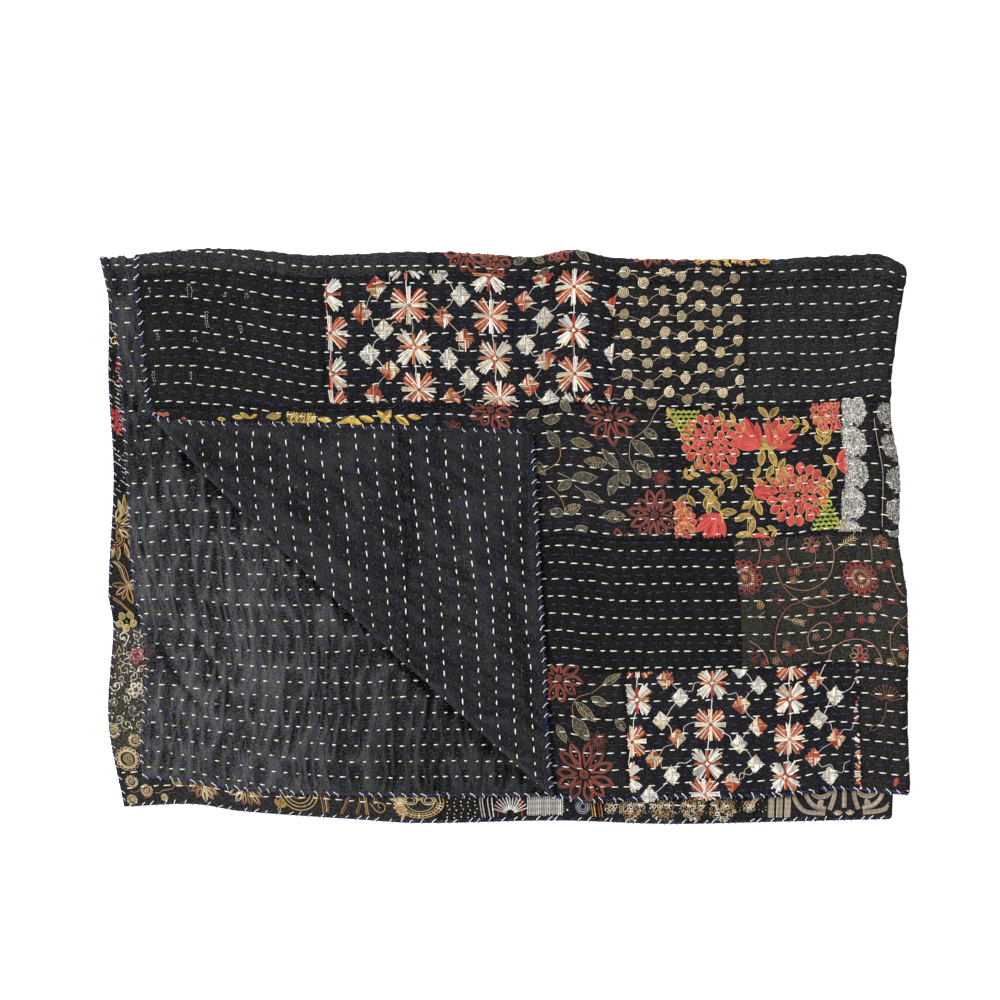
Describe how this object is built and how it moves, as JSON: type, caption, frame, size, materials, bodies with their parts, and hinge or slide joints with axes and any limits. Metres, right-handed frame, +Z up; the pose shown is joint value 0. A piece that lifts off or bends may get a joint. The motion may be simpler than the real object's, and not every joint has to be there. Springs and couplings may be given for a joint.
{
  "type": "folded kantha quilt",
  "caption": "Kantha throw quilt with a pieced black face and charcoal backing, folded in four with one corner of the top layer turned back.",
  "frame": {"origin": "centre of the folded stack's bounding box, on the surface it lies on", "axes": "+Z up; +X to the side fold, along the longer side; +Y from the near hems to the top fold"},
  "size_m": [0.9329, 0.6639, 0.025],
  "materials": {
    "face_cloth": "soft black cotton and silk, matte, in seamed patches with embroidered borders",
    "backing_cloth": "washed charcoal cotton, matte",
    "quilting_thread": "white and blue cotton thread",
    "embroidery_thread": "stranded cotton thread in several colours, slight sheen"
  },
  "bodies": {
    "root": {"patchwork_face": "face_cloth", "backing": "backing_cloth"}
  },
  "joints": []
}
